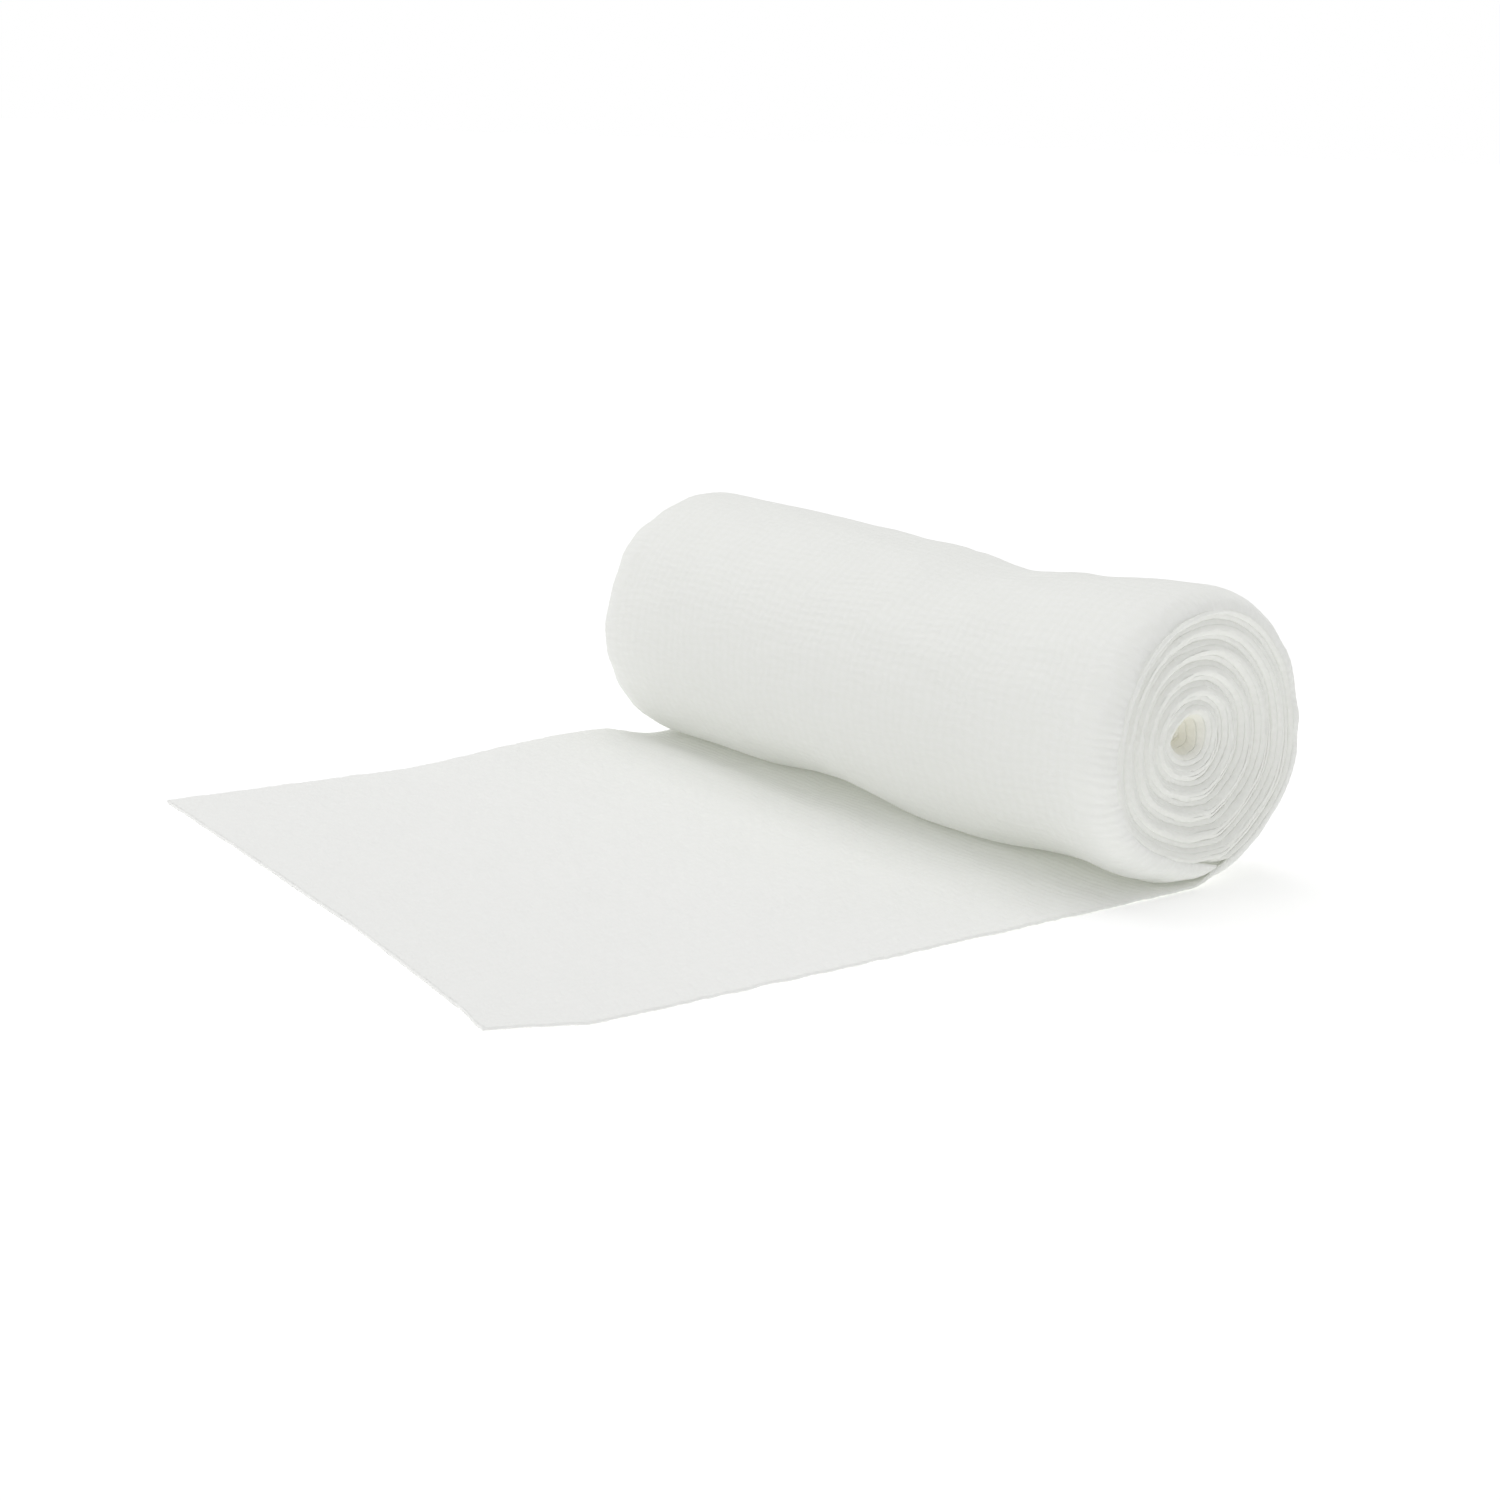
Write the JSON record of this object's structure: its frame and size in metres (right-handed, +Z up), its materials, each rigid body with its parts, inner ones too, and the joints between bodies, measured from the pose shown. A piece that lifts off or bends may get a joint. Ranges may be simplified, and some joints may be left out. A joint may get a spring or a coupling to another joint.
{
  "type": "gauze bandage roll",
  "caption": "Off-white cotton gauze bandage wound into a soft roll, lying on its side with its loose end unrolled flat in front of it.",
  "frame": {"origin": "bottom centre of the bounding box, on the surface that the loose end lies on", "axes": "+X along the roll's axis, which is across the bandage; +Y from the cut end of the loose end towards the roll; +Z up"},
  "size_m": [0.1036, 0.1174, 0.0377],
  "materials": {
    "gauze_rolled": "matt, open woven cotton gauze, slightly fuzzy",
    "gauze_laid": "matt, open woven cotton gauze, a single layer"
  },
  "bodies": {
    "root": {"wound_roll": "gauze_rolled", "loose_tail": "gauze_laid"}
  },
  "joints": []
}
